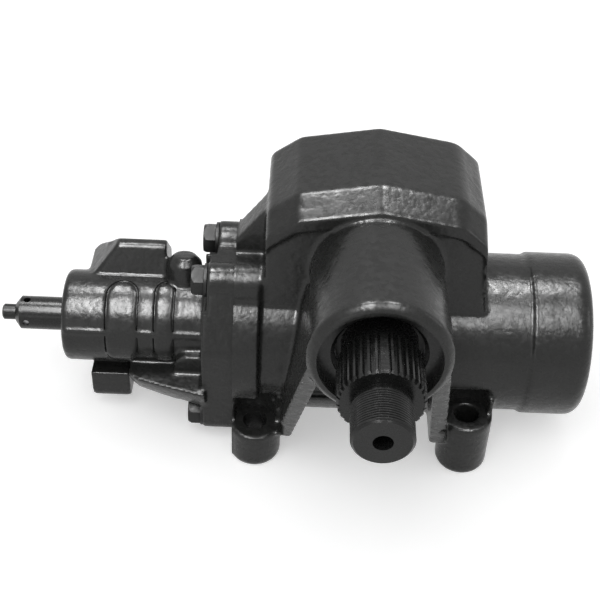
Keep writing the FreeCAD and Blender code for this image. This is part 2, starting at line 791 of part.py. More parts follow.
def rack_piston():
    pitch_r = module_mm * sector_teeth_full / 2
    pitch_z = sector_z - pitch_r
    top_z = pitch_z + module_mm - tip_relief
    root_z = pitch_z - 1.25 * module_mm
    radius = barrel_bore_r - piston_gap
    body = cyl_x(piston_left, piston_right, radius)
    body = body.makeChamfer(1.0, edges_where(body, lambda e: abs(e.Length - 2 * math.pi * radius) < 0.1))
    flat_left = sector_x - rack_half
    flat_right = sector_x + rack_half
    over = worm_z + barrel_bore_r + rack_lead_in
    flat = prism_y([(flat_left, top_z), (flat_left - rack_lead_in, over), (flat_right + rack_lead_in, over),
                    (flat_right, top_z)], -rack_reach, rack_reach)
    pitch = math.pi * module_mm
    lean = math.tan(math.radians(pressure_angle))
    spaces = []
    for i in (-1, 0, 1):
        x = sector_x + i * pitch
        top_half = pitch / 4 + (top_z - pitch_z) * lean
        low_half = pitch / 4 - (pitch_z - root_z) * lean
        spaces.append(prism_y([(x - top_half - lean, top_z + 1.0), (x + top_half + lean, top_z + 1.0),
                               (x + low_half, root_z), (x - low_half, root_z)], -rack_reach, rack_reach))
    ring = tube_x(ring_x, ring_x + ring_width, radius + 1, radius - ring_depth)
    cuts = [flat, ring, cyl_x(piston_left - 1, piston_right + 1, nut_bore_r),
            cyl_x(piston_right - plug_len, piston_right + 1, plug_r), ball_track()]
    return body.cut(cuts + spaces)


def ball_track():
    """The helical channel that the balls run in, half in the nut and half in the worm."""
    length = worm_lead * ball_turns
    helix = Part.makeHelix(worm_lead, length, ball_circle_r)
    start = Part.Wire(Part.makeCircle(ball_r + ball_gap, Vec(ball_circle_r, 0, 0), Vec(0, 1, 0)))
    channel = Part.Wire(helix.Edges).makePipeShell([start], True, True)
    return along_worm(channel, ball_zone)


def along_worm(shape, start_x):
    """Turn a shape made on the Z axis to lie on the worm axis, from start_x."""
    shape.rotate(Vec(0, 0, 0), Vec(0, 1, 0), 90)
    shape.translate(Vec(start_x, 0, worm_z))
    return shape


def ball(middle):
    """A ball with flat facets inside the true sphere, which keeps the train of balls light."""
    rings = []
    for i in range(1, ball_bands):
        lift = math.pi * i / ball_bands
        rings.append([middle + Vec(math.sin(lift) * math.cos(2 * math.pi * k / ball_sides),
                                   math.sin(lift) * math.sin(2 * math.pi * k / ball_sides),
                                   math.cos(lift)) * ball_r for k in range(ball_sides)])
    top = middle + Vec(0, 0, ball_r)
    bottom = middle - Vec(0, 0, ball_r)
    faces = []
    for k in range(ball_sides):
        j = (k + 1) % ball_sides
        faces.append(polygon_face([top, rings[0][k], rings[0][j]]))
        faces.append(polygon_face([bottom, rings[-1][j], rings[-1][k]]))
        faces += [polygon_face([upper[k], lower[k], lower[j], upper[j]])
                  for upper, lower in zip(rings, rings[1:])]
    return Part.makeSolid(Part.makeShell(faces))


def recirculating_balls():
    balls = []
    count = int(ball_turns * balls_per_turn)
    for i in range(count):
        turn = (i + 0.5) / balls_per_turn
        a = 2 * math.pi * turn
        middle = Vec(ball_circle_r * math.cos(a), ball_circle_r * math.sin(a), worm_lead * turn)
        balls.append(along_worm(ball(middle), ball_zone))
    return Part.makeCompound(balls)


def worm_shaft():
    body = revolve_x([(sleeve_right, 0.0), (sleeve_right, worm_neck_r), (collar_left, worm_neck_r),
                      (collar_left, collar_r), (collar_right, collar_r), (collar_right, worm_neck_r),
                      (worm_thread_left, worm_neck_r), (worm_thread_left + 1.5, worm_r),
                      (worm_end - 1.5, worm_r), (worm_end, worm_r - 1.5), (worm_end, 0.0)])
    groove_start = ball_zone - worm_lead * math.ceil((ball_zone - worm_thread_left) / worm_lead)
    turns = math.floor((worm_end - ball_r - ball_gap - groove_start) / worm_lead * 4) / 4
    helix = Part.makeHelix(worm_lead, worm_lead * turns, ball_circle_r)
    start = Part.Wire(Part.makeCircle(ball_r + ball_gap, Vec(ball_circle_r, 0, 0), Vec(0, 1, 0)))
    groove = Part.Wire(helix.Edges).makePipeShell([start], True, True)
    groove = along_worm(groove, groove_start)
    return body.cut([groove, cyl_x(sleeve_right - 1, bar_right + 1.0, bar_end_r + bearing_gap)])


def valve_sleeve():
    sleeve = tube_x(sleeve_left, sleeve_right, sleeve_r - bearing_gap, spool_r + bearing_gap)
    cuts = []
    for x in sleeve_ring_x:
        cuts.append(tube_x(x, x + sleeve_ring_w, sleeve_r + 1, sleeve_r - sleeve_ring_depth))
    for x in sleeve_port_x:
        cuts.append(tube_x(x, x + sleeve_port_w, sleeve_r + 1, sleeve_r - sleeve_port_depth))
        for i in range(4):
            hole = cyl_z(worm_z, worm_z + 2 * sleeve_r, sleeve_port_r, x + sleeve_port_w / 2, 0.0)
            hole.rotate(Vec(0, 0, worm_z), Vec(1, 0, 0), 90 * i + 45)
            cuts.append(hole)
    return sleeve.cut(cuts)


def sleeve_rings():
    inner = sleeve_r - sleeve_ring_depth
    outer = valve_bore_r - bearing_gap
    return Part.makeCompound([tube_x(x, x + sleeve_ring_w, outer, inner) for x in sleeve_ring_x])


def input_shaft():
    body = revolve_x([(input_tip, 0.0), (input_tip, bar_end_r + 1.2), (input_tip + input_shoulder, input_r),
                      (input_journal_start, input_r), (input_journal_start, input_journal_r),
                      (spool_left, input_journal_r), (spool_left, spool_r), (spool_right, spool_r),
                      (spool_right, 0.0)])
    cuts = [cyl_x(input_tip - 1, spool_right + 1, bar_end_r)]
    for i in range(spool_slots):
        slot = Part.makeBox(spool_right - spool_left - 16.0, 5.0, 3.0,
                            Vec(spool_left + 8.0, -2.5, worm_z + spool_r - 1.6))
        slot.rotate(Vec(0, 0, worm_z), Vec(1, 0, 0), 360.0 / spool_slots * i)
        cuts.append(slot)
    cuts.append(pin_hole(pin_r, 30.0))
    cuts.append(cyl_z(worm_z - 15.0, worm_z + 15.0, pin_r, pin_x, 0.0))
    return body.cut(cuts)


def pin_hole(radius, length):
    """A cross hole through the input shaft and the torsion bar's end."""
    return Part.makeCylinder(radius, length, Vec(pin_x, -length / 2, worm_z), Vec(0, 1, 0))


def torsion_bar():
    body = revolve_x([(bar_tip, 0.0), (bar_tip, bar_end_r - 0.8), (bar_tip + 0.8, bar_end_r),
                      (pin_x + 7.0, bar_end_r), (pin_x + 10.0, bar_r), (bar_right - 16.0, bar_r),
                      (bar_right - 13.0, bar_end_r), (bar_right, bar_end_r), (bar_right, 0.0)])
    return body.cut([pin_hole(pin_r, 30.0), cyl_z(worm_z - 15.0, worm_z + 15.0, pin_r, pin_x, 0.0)])


def torsion_bar_pin():
    return pin_hole(pin_r, 2 * input_r - 3.0)


def thrust_bearing():
    """Two thrust washers with their rollers' envelope, one on each side of the worm's collar."""
    left = tube_x(joint_x - thrust_depth, collar_left - axial_gap, thrust_r, worm_neck_r + 1.0)
    right = tube_x(collar_right + axial_gap, lock_ring_left, thrust_r, worm_neck_r + 1.0)
    return Part.makeCompound([left, right])


def lock_ring():
    """Threaded ring that holds the thrust bearing in the valve housing, with spanner slots."""
    ring = tube_x(lock_ring_left, lock_ring_right, thrust_r, worm_neck_r + 4.0)
    slots = []
    for i in range(4):
        slot = Part.makeBox(2.5, 5.0, 6.0, Vec(lock_ring_right - 2.5, -2.5, worm_z + thrust_r - 5.0))
        slot.rotate(Vec(0, 0, worm_z), Vec(1, 0, 0), 90.0 * i + 45.0)
        slots.append(slot)
    return ring.cut(slots)


def input_bearing():
    end = valve_bore_end
    return tube_x(end - input_bearing_w, end, input_bearing_r, input_journal_r + bearing_gap)


def input_seal():
    start = valve_end + seal_pocket - input_seal_w
    return tube_x(start, start + input_seal_w, input_seal_r, input_journal_r + bearing_gap)


def input_retaining_ring():
    end = valve_end + seal_pocket - input_seal_w
    return tube_x(end - retaining_ring, end, input_seal_r, input_journal_r + 2.5)


def sector_oil_seal():
    seat = boss_face + recess_depth + seal_bore_depth
    return tube_y(seat - oil_seal_w, seat, seal_bore_r, journal_r + bearing_gap)


def sector_retaining_ring():
    start = boss_face + recess_depth + seal_bore_depth - oil_seal_w - retaining_ring
    return tube_y(start, start + retaining_ring, seal_bore_r, journal_r + 3.0)


def sector_dust_seal():
    seat = boss_face + recess_depth
    ring = tube_y(seat - dust_seal_thick, seat, recess_r, dust_seal_inner_r)
    lip = revolve_y([(seat - dust_seal_thick, dust_seal_inner_r + 2.0), (seat - 0.8, dust_seal_inner_r - 2.0),
                     (seat, dust_seal_inner_r - 2.0), (seat, dust_seal_inner_r + 2.0)])
    return union([ring, lip])


def piston_ring():
    radius = barrel_bore_r - piston_gap
    return tube_x(ring_x, ring_x + ring_width, radius, radius - ring_depth)


def piston_end_plug():
    plug = cyl_x(piston_right - plug_len, piston_right, plug_r)
    return plug.cut(hexagon_x(piston_right - 5.0, piston_right + 1.0, 12.0, 0.0, worm_z))


def bearing_sleeve(y0, y1, inner):
    """A drawn-cup needle bearing: an outer cup with a row of needles' envelope."""
    return tube_y(y0, y1, inner + bearing_wall, inner)


def save(name, shape):
    shape.exportStep(f"parts/{name}.step")
    print(name, "valid", shape.isValid(), "solids", len(shape.Solids), "volume", round(shape.Volume))


def main():
    os.makedirs("parts", exist_ok=True)
    save("gear_housing", gear_housing())
    save("valve_housing", valve_housing())
    save("valve_housing_bolts", valve_housing_bolts())
    save("valve_joint_seal", valve_joint_seal())
    save("side_cover", side_cover())
    save("side_cover_bolts", side_cover_bolts())
    save("side_cover_seal", side_cover_seal())
    save("adjuster_screw", adjuster_screw())
    save("adjuster_locknut", adjuster_locknut())
    save("adjuster_retainer", adjuster_retainer())
    save("worm_thrust_bearing", thrust_bearing())
    save("worm_lock_ring", lock_ring())
    save("input_bearing", input_bearing())
    save("input_seal", input_seal())
    save("input_retaining_ring", input_retaining_ring())
    save("sector_front_bearing", bearing_sleeve(*front_bearing, journal_r + bearing_gap))
    save("sector_rear_bearing", bearing_sleeve(*rear_bearing, rear_journal_r + bearing_gap))
    save("sector_oil_seal", sector_oil_seal())
    save("sector_retaining_ring", sector_retaining_ring())
    save("sector_dust_seal", sector_dust_seal())
    save("sector_shaft", sector_shaft())
    save("rack_piston", rack_piston())
    save("piston_ring", piston_ring())
    save("piston_end_plug", piston_end_plug())
    save("recirculating_balls", recirculating_balls())
    save("worm_shaft", worm_shaft())
    save("valve_sleeve", valve_sleeve())
    save("sleeve_seal_rings", sleeve_rings())
    save("input_shaft", input_shaft())
    save("torsion_bar", torsion_bar())
    save("torsion_bar_pin", torsion_bar_pin())


main()
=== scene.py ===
import json
import math

import bmesh
import bpy
from mathutils import Matrix, Vector


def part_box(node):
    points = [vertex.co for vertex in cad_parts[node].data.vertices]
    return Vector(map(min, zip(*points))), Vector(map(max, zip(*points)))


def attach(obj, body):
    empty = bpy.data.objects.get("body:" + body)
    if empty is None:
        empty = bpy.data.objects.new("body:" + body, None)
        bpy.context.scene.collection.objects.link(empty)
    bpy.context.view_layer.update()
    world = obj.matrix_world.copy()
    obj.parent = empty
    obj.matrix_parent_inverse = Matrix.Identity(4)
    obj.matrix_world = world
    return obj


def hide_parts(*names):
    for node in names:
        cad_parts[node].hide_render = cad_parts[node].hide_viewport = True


bl_info = {
    "name": "Steering Gearbox",
    "version": (1, 0, 0),
    "blender": (4, 5, 0),
    "location": "View3D > Sidebar > Gearbox",
    "description": "Casts, machines, threads and paints a power steering gearbox round its frame",
    "category": "Add Mesh",
}

MM = 0.001
X = Vector((1, 0, 0))
Y = Vector((0, 1, 0))
Z = Vector((0, 0, 1))
WHITE = (1.0, 1.0, 1.0, 1.0)

WELD = 0.002 * MM            # corners of a node's loose triangles that are closer than this become one
FLAT = 0.05 * MM             # a face this close to a machined plane lies on it
PLAY = 0.05 * MM             # a bore is this much wider than the piece that slides in it
FILLING = 0.7 * MM           # a hole is filled this much wider for casting than it is bored afterwards
SLAB = 60.0 * MM             # thickness of a facing cut, which reaches three or four times as far sideways
END_WALL = 11.0 * MM         # metal behind the bore at the barrel's closed end
FOOT_FILLING = 30.0 * MM     # height to which a foot's hole is filled for casting
FOOT_DRILL = 8.0 * MM        # how much further than the filling the foot's drill goes
PORT_CLEAR = 20.0 * MM       # how far a port's drill stands out of the port
PASSAGE_START = 2.3          # depth of the oil passage's lower end under a port, in port lengths
PASSAGE_LENGTH = 1.4         # length of that passage, in port lengths
PASSAGE_WIDTH = 0.5          # radius of that passage, in port radii
CASTING_CREASE = 52.0        # degrees between two faces of a casting that still look like one surface
MACHINED_CREASE = 32.0       # the same on a turned or cut piece
PAINT_SPECULAR = 0.27        # the paint's specular level

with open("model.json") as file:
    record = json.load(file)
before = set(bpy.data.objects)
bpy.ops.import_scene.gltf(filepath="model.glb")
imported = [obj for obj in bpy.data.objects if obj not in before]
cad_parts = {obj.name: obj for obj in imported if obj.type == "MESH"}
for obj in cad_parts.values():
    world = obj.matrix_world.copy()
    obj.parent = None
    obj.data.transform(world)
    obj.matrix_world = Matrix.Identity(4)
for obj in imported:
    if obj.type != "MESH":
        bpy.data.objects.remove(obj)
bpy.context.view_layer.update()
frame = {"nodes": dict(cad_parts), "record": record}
MOUNTS = {mount["name"]: mount for mount in frame["record"]["mounts"]}


class CastingSizes(bpy.types.PropertyGroup):
    mesh_size: bpy.props.FloatProperty(
        name="Mesh size", description="Edge length of a housing's mesh",
        default=1.0 * MM, unit="LENGTH")
    edge_passes: bpy.props.IntProperty(
        name="Edge rounding", description="Smoothing passes that round a housing's edges",
        default=10, min=0)
    kept_share: bpy.props.FloatProperty(
        name="Kept faces", description="Share of a housing's faces that is kept",
        default=0.45, min=0.1, max=1.0)
    cover_mesh_size: bpy.props.FloatProperty(
        name="Cover mesh size", description="Edge length of the side cover's mesh",
        default=0.8 * MM, unit="LENGTH")
    cover_edge_passes: bpy.props.IntProperty(
        name="Cover edge rounding", description="Smoothing passes that round the side cover's edges",
        default=4, min=0)
    cover_kept_share: bpy.props.FloatProperty(
        name="Cover kept faces", description="Share of the side cover's faces that is kept",
        default=0.5, min=0.1, max=1.0)
    skin: bpy.props.FloatProperty(
        name="Machining skin", description="Metal left on a casting where it is machined afterwards",
        default=2.6 * MM, unit="LENGTH")
    left_seat: bpy.props.FloatProperty(
        name="Left seats", description="Height of the bolt seats on the left feet",
        default=22.5 * MM, unit="LENGTH")
    right_seat: bpy.props.FloatProperty(
        name="Right seats", description="Height of the bolt seats on the right feet",
        default=35.0 * MM, unit="LENGTH")
    seat_radius: bpy.props.FloatProperty(
        name="Seat radius", description="Radius of the tool that faces a bolt seat",
        default=11.5 * MM, unit="LENGTH")
    seat_reach: bpy.props.FloatProperty(
        name="Seat reach", description="How far above its seat the facing tool cuts",
        default=15.0 * MM, unit="LENGTH")


class ValveSizes(bpy.types.PropertyGroup):
    radius: bpy.props.FloatProperty(
        name="Radius", description="Radius of the valve cylinder",
        default=26.0 * MM, unit="LENGTH")
    parting_angle: bpy.props.FloatProperty(
        name="Parting line", description="Angle of the mould's parting line above the cylinder's front",
        default=math.radians(20.0), subtype="ANGLE", unit="ROTATION")
    parting_width: bpy.props.FloatProperty(
        name="Parting width", description="Width of the parting line",
        default=2.4 * MM, unit="LENGTH")
    parting_height: bpy.props.FloatProperty(
        name="Parting height", description="Height of the parting line before it is rounded",
        default=1.2 * MM, unit="LENGTH")
    left_pad: bpy.props.FloatVectorProperty(
        name="Left pad", description="Left and right edge of the left pad",
        default=(-143.2 * MM, -127.2 * MM), size=2, unit="LENGTH")
    right_pad: bpy.props.FloatVectorProperty(
        name="Right pad", description="Left and right edge of the right pad",
        default=(-116.2 * MM, -107.0 * MM), size=2, unit="LENGTH")
    pad_tilt: bpy.props.FloatProperty(
        name="Pad tilt", description="Angle above level that the pads face",
        default=math.radians(41.0), subtype="ANGLE", unit="ROTATION")
    pad_top: bpy.props.FloatProperty(
        name="Pad top", description="Top of the pads above the worm's axis, before their tilt",
        default=19.5 * MM, unit="LENGTH")
    pad_low: bpy.props.FloatProperty(
        name="Groove end", description="Lower end of the grooves beside the pads, before their tilt",
        default=-20.0 * MM, unit="LENGTH")
    groove_radius: bpy.props.FloatProperty(
        name="Groove radius", description="Radius of the groove round a pad",
        default=0.9 * MM, unit="LENGTH")


class BoltSizes(bpy.types.PropertyGroup):
    corner_radius: bpy.props.FloatProperty(
        name="Head radius", description="Radius of a bolt's head over its corners",
        default=8.66 * MM, unit="LENGTH")
    shank_radius: bpy.props.FloatProperty(
        name="Shank radius", description="Radius of a bolt's shank",
        default=4.95 * MM, unit="LENGTH")
    head_height: bpy.props.FloatProperty(
        name="Head height", description="Height of the heads on the valve housing",
        default=7.0 * MM, unit="LENGTH")
    washer_height: bpy.props.FloatProperty(
        name="Washer height", description="Height of the washer faces on the valve housing",
        default=1.6 * MM, unit="LENGTH")
    cover_head_height: bpy.props.FloatProperty(
        name="Cover head height", description="Height of the heads on the side cover",
        default=6.0 * MM, unit="LENGTH")
    cover_washer_height: bpy.props.FloatProperty(
        name="Cover washer height", description="Height of the washer faces on the side cover",
        default=1.0 * MM, unit="LENGTH")
    cover_washer_radius: bpy.props.FloatProperty(
        name="Cover washer radius", description="Radius of the washer faces on the side cover",
        default=9.3 * MM, unit="LENGTH")
    edge: bpy.props.FloatProperty(
        name="Edge", description="Width of a bolt's rounded edges",
        default=0.35 * MM, unit="LENGTH")


class ThreadSizes(bpy.types.PropertyGroup):
    pitch: bpy.props.FloatProperty(
        name="Pitch", description="Distance between thread crests",
        default=1.5 * MM, unit="LENGTH")
    depth: bpy.props.FloatProperty(
        name="Depth", description="Depth of the thread",
        default=0.85 * MM, unit="LENGTH")
    steps: bpy.props.IntProperty(
        name="Steps", description="Straight steps in one turn of thread",
        default=64, min=12)


class PaintLooks(bpy.types.PropertyGroup):
    casting_color: bpy.props.FloatVectorProperty(
        name="Casting paint", description="Paint on the castings",
        default=(0.017, 0.0173, 0.0166), subtype="COLOR", size=3)
    shaft_color: bpy.props.FloatVectorProperty(
        name="Shaft paint", description="Paint on the shafts",
        default=(0.008, 0.0082, 0.008), subtype="COLOR", size=3)
    roughness: bpy.props.FloatProperty(
        name="Roughness", description="Roughness of the castings' paint",
        default=0.27, min=0.0, max=1.0)


class StudioSetup(bpy.types.PropertyGroup):
    lens: bpy.props.FloatProperty(
        name="Lens", description="Focal length in millimetres",
        default=71.97)
    camera_place: bpy.props.FloatVectorProperty(
        name="Camera", description="Place of the camera",
        default=(-36.27 * MM, -514.78 * MM, 516.69 * MM), subtype="XYZ", unit="LENGTH", size=3)
    elevation: bpy.props.FloatProperty(
        name="Elevation", description="Angle of the view above level",
        default=math.radians(40.79), subtype="ANGLE", unit="ROTATION")
    roll: bpy.props.FloatProperty(
        name="Roll", description="Turn of the camera about its view",
        default=math.radians(2.29), subtype="ANGLE", unit="ROTATION")
    fill: bpy.props.FloatProperty(
        name="Fill", description="Strength of the even light from all round",
        default=0.7, min=0.0)
    floor_glow: bpy.props.FloatProperty(
        name="Floor glow", description="White that only the camera and reflections see on the floor",
        default=0.4, min=0.0)


# Name, place, aim, width and length, power in watts, and whether it shows in the gloss alone.
LAMPS = (
    ("barrel_lamp", (0.235, 0.31, 1.17), (0.235, 0.0, 0.06), (0.13, 0.34), 10.0, True),
    ("barrel_sweep", (0.25, -0.5, 1.1), (0.25, -0.1, 0.06), (0.15, 0.75), 10.5, True),
    ("valve_lamp", (-0.31, 0.37, 1.17), (-0.31, 0.0, 0.06), (0.18, 0.28), 10.5, True),
    ("valve_sweep", (-0.31, -0.5, 1.1), (-0.31, -0.1, 0.06), (0.18, 0.75), 25.0, True),
    ("key_lamp", (-0.35, -0.7, 1.3), (0.0, 0.0, 0.08), (0.8, 0.8), 3.5, False),
    ("right_lamp", (1.1, -0.1, 0.5), (0.05, 0.0, 0.08), (0.3, 0.4), 1.0, False),
    ("front_lamp", (-0.5, -1.2, 0.35), (0.0, 0.0, 0.08), (0.4, 0.3), 0.6, False),
)
FLOOR_SIZE = 6.0


class Signal:
    """A socket that Python's operators work on, by adding Math nodes."""

    def __init__(self, nodes, socket):
        self.nodes = nodes
        self.socket = socket

    def math(self, operation, *values):
        return self.nodes.add("ShaderNodeMath", {"operation": operation}, numbered=dict(enumerate(values)))

    def __add__(self, other):
        return self.math("ADD", self, other)

    def __sub__(self, other):
        return self.math("SUBTRACT", self, other)

    def __rsub__(self, other):
        return self.math("SUBTRACT", other, self)

    def __mul__(self, other):
        return self.math("MULTIPLY", self, other)

    __radd__ = __add__
    __rmul__ = __mul__


class Nodes:
    """A node tree under construction, with one method that adds any node."""

    def __init__(self, tree):
        self.tree = tree

    def put(self, place, value):
        """Set an input, or link one signal or a list of them to it. None leaves it as it is."""
        if isinstance(value, list):
            for signal in value:
                self.put(place, signal)
        elif isinstance(value, Signal):
            self.tree.links.new(value.socket, place)
        elif value is not None:
            place.default_value = value

    def add(self, kind, settings=None, out=0, numbered=None, **named):
        """A node with its settings, then its inputs by number or by name, where _ stands for a space."""
        node = self.tree.nodes.new(kind)
        for key, value in (settings or {}).items():
            setattr(node, key, value)
        for key, value in (numbered or {}).items():
            self.put(node.inputs[key], value)
        for key, value in named.items():
            self.put(node.inputs[key.replace("_", " ")], value)
        return Signal(self, node.outputs[out])

    def background_seen(self):
        """1 for the rays that show the background: the camera's own, and those off metal or through glass."""
        camera, gloss, glass = (self.add("ShaderNodeLightPath", out=f"Is {ray} Ray")
                                for ray in ("Camera", "Glossy", "Transmission"))
        return camera.math("MAXIMUM", camera.math("MAXIMUM", camera, gloss), glass)


class Finish(Nodes):
    """A material under construction."""

    def __init__(self, name):
        self.material = bpy.data.materials.new(name)
        self.material.use_nodes = True
        super().__init__(self.material.node_tree)
        self.shader = self.tree.nodes["Principled BSDF"]
        self.place = self.add("ShaderNodeTexCoord", out="Object")

    def noise(self, size, detail=2.0, roughness=0.5):
        """Noise whose lumps are about size metres across."""
        return self.add("ShaderNodeTexNoise", Vector=self.place, Scale=1.0 / size, Detail=detail,
                        Roughness=roughness)

    def band(self, signal, low, high, to_low=0.0, to_high=1.0):
        """Signal stretched from low..high to to_low..to_high, and held inside them."""
        return self.add("ShaderNodeMapRange", Value=signal, From_Min=low, From_Max=high, To_Min=to_low,
                        To_Max=to_high)

    def bump(self, height, distance, strength=1.0, below=None):
        """Relief of that height in metres, on top of the relief below."""
        return self.add("ShaderNodeBump", Height=height, Distance=distance, Strength=strength, Normal=below)

    def blend(self, factor, one, other):
        """One colour where factor is 0, the other where it is 1."""
        return self.add("ShaderNodeMix", {"data_type": "RGBA"}, out=2, numbered={0: factor, 6: one, 7: other})

    def set(self, **values):
        for key, value in values.items():
            self.put(self.shader.inputs[key.replace("_", " ")], value)
        return self.material


class Growth(Nodes):
    """A geometry tree under construction, with named inputs."""

    def __init__(self, name):
        super().__init__(bpy.data.node_groups.new(name, "GeometryNodeTree"))
        self.tree.interface.new_socket("Geometry", in_out="OUTPUT", socket_type="NodeSocketGeometry")
        self.entry = self.tree.nodes.new("NodeGroupInput")
        self.exit = self.tree.nodes.new("NodeGroupOutput")
        self.keys = {}

    def take(self, name, kind="NodeSocketFloat"):
        """A named input. The identifier that sets it on a modifier is kept in keys."""
        socket = self.tree.interface.new_socket(name, in_out="INPUT", socket_type=kind)
        self.keys[name] = socket.identifier
        return Signal(self, self.entry.outputs[name])

    def give(self, signal):
        self.put(self.exit.inputs[0], signal)
        return self.tree

    def shift(self, body, height):
        """The body moved up by height."""
        rise = self.add("ShaderNodeCombineXYZ", Z=height)
        return self.add("GeometryNodeTransform", Geometry=body, Translation=rise)

    def cylinder(self, radius, depth, middle, sides):
        """An upright cylinder about Z whose middle is at that height."""
        body = self.add("GeometryNodeMeshCylinder", Vertices=sides, Radius=radius, Depth=depth)
        return self.shift(body, middle)

    def combine(self, operation, *bodies):
        return self.add("GeometryNodeMeshBoolean", {"operation": operation, "solver": "EXACT"},
                        Mesh_2=list(bodies))


def shade(color, factor):
    """A colour made lighter or darker, with its alpha."""
    return (*(min(1.0, c * factor) for c in color), 1.0)


def painted_casting():
    """Sprayed semi-gloss grey over sand-cast iron: orange peel, casting lumps and a few coarse grains."""
    looks = bpy.context.scene.gearbox_paint
    f = Finish("painted_casting")
    peel = f.noise(3.6 * MM, 1.5)
    lumps = f.noise(15.0 * MM, 3.0)
    sand = f.noise(0.8 * MM, 2.0, 0.6)
    drift = f.noise(38.0 * MM)
    color = f.blend(f.band(drift, 0.35, 0.65), shade(looks.casting_color, 0.9),
                    shade(looks.casting_color, 1.08))
    color = f.blend(f.band(sand, 0.66, 0.76) * 0.25, color, shade(looks.casting_color, 1.5))
    waves = f.bump(lumps, 0.45 * MM)
    skin = f.bump(peel, 0.2 * MM, below=waves)
    grain = f.bump(f.band(sand, 0.5, 0.8), 0.012 * MM, below=skin)
    roughness = f.band(peel, 0.3, 0.7, looks.roughness - 0.05, looks.roughness + 0.07)
    return f.set(Base_Color=color, Roughness=roughness, Metallic=0.0,
                 Specular_IOR_Level=PAINT_SPECULAR, Normal=grain)


def painted_steel(name, roughness):
    """The same paint over machined steel, where it lies smoother."""
    looks = bpy.context.scene.gearbox_paint
    f = Finish(name)
    peel = f.noise(1.9 * MM, 1.0)
    drift = f.noise(16.0 * MM)
    color = f.blend(f.band(drift, 0.35, 0.65), shade(looks.shaft_color, 0.88), shade(looks.shaft_color, 1.12))
    return f.set(Base_Color=color, Roughness=f.band(peel, 0.3, 0.7, roughness - 0.04, roughness + 0.06),
                 Metallic=0.0, Specular_IOR_Level=PAINT_SPECULAR, Normal=f.bump(peel, 0.035 * MM, 0.8))


def seal_rubber():
    """Matt black rubber."""
    f = Finish("seal_rubber")
    fine = f.noise(0.9 * MM, 3.0)
    color = f.blend(f.band(fine, 0.35, 0.7), (0.012, 0.012, 0.012, 1.0), (0.03, 0.03, 0.029, 1.0))
    return f.set(Base_Color=color, Roughness=f.band(fine, 0.3, 0.7, 0.58, 0.74),
                 Normal=f.bump(fine, 0.03 * MM, 0.6))


def bare_metal(name, color, roughness, mark_size):
    """Bright metal with grinding marks and a thin, uneven film of oil."""
    f = Finish(name)
    marks = f.noise(mark_size, 4.0, 0.6)
    film = f.noise(9.0 * MM)
    tint = f.blend(f.band(film, 0.35, 0.7), shade(color, 0.86), shade(color, 1.08))
    return f.set(Base_Color=tint, Roughness=f.band(marks, 0.3, 0.7, roughness - 0.06, roughness + 0.1),
                 Metallic=1.0, Normal=f.bump(marks, 0.01 * MM, 0.5))


def ring_polymer():
    """Filled polymer of the seal rings, brown with fine flecks."""
    f = Finish("ring_polymer")
    fleck = f.noise(0.7 * MM, 3.0)
    color = f.blend(f.band(fleck, 0.4, 0.7), (0.26, 0.2, 0.13, 1.0), (0.36, 0.29, 0.2, 1.0))
    return f.set(Base_Color=color, Roughness=f.band(fleck, 0.3, 0.7, 0.42, 0.6),
                 Normal=f.bump(fleck, 0.01 * MM, 0.5))


def finish_of(slot):
    return bpy.data.materials[slot]


def mesh_object(name, bm):
    mesh = bpy.data.meshes.new(name)
    bm.to_mesh(mesh)
    bm.free()
    obj = bpy.data.objects.new(name, mesh)
    bpy.context.scene.collection.objects.link(obj)
    return obj


def settle(obj):
    """The object with its modifiers turned into its own mesh."""
    graph = bpy.context.evaluated_depsgraph_get()
    mesh = bpy.data.meshes.new_from_object(obj.evaluated_get(graph))
    obj.modifiers.clear()
    old = obj.data
    obj.data = mesh
    bpy.data.meshes.remove(old)
    return obj


def drop(obj):
    mesh = obj.data
    bpy.data.objects.remove(obj)
    bpy.data.meshes.remove(mesh)


def smooth_faces(obj, crease):
    """Smooth shading, with a sharp edge wherever two faces meet at more than crease degrees."""
    mesh = obj.data
    kept = mesh.attributes.get("custom_normal")
    if kept:
        mesh.attributes.remove(kept)
    mesh.shade_smooth()
    mesh.set_sharp_from_angle(angle=math.radians(crease))


def hand_over(obj, body, slot, *nodes, crease=MACHINED_CREASE):
    """Give a finished piece its material, its body, and the nodes that it stands for."""
    obj.data.materials.clear()
    obj.data.materials.append(finish_of(slot))
    smooth_faces(obj, crease)
    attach(obj, body)
    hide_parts(*nodes)
    return obj


def mount_place(name):
    """A mount's point, unit axis, radius and length, in metres."""
    mount = MOUNTS[name]
    dims = mount["dims"]
    return (Vector(mount["pos_m"]), Vector(mount["axis"]).normalized(),
            dims.get("r_mm", 0.0) * MM, dims.get("length_mm", 0.0) * MM)


def foot_places():
    middle = Vector(MOUNTS["foot_bolts"]["pos_m"])
    dims = MOUNTS["foot_bolts"]["dims"]
    half_x = dims["spacing_x_mm"] / 2 * MM
    half_y = dims["spacing_y_mm"] / 2 * MM
    return [middle + Vector((x, y, 0)) for x in (-half_x, half_x) for y in (-half_y, half_y)]


def axis_line(node):
    """The middle of a node's box, which is on the axis of a round node."""
    low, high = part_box(node)
    return (low + high) / 2


def radius_of(node, across):
    """Half of a round node's width along axis number across."""
    low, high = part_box(node)
    return (high[across] - low[across]) / 2


def at(point, **parts):
    """The point with its x, y or z moved to the given place."""
    moved = point.copy()
    for part, value in parts.items():
        setattr(moved, part, value)
    return moved


def merged_copy(node):
    """A node's mesh as a bmesh with its loose triangles joined."""
    bm = bmesh.new()
    bm.from_mesh(frame["nodes"][node].data)
    bmesh.ops.remove_doubles(bm, verts=bm.verts, dist=WELD)
    return bm


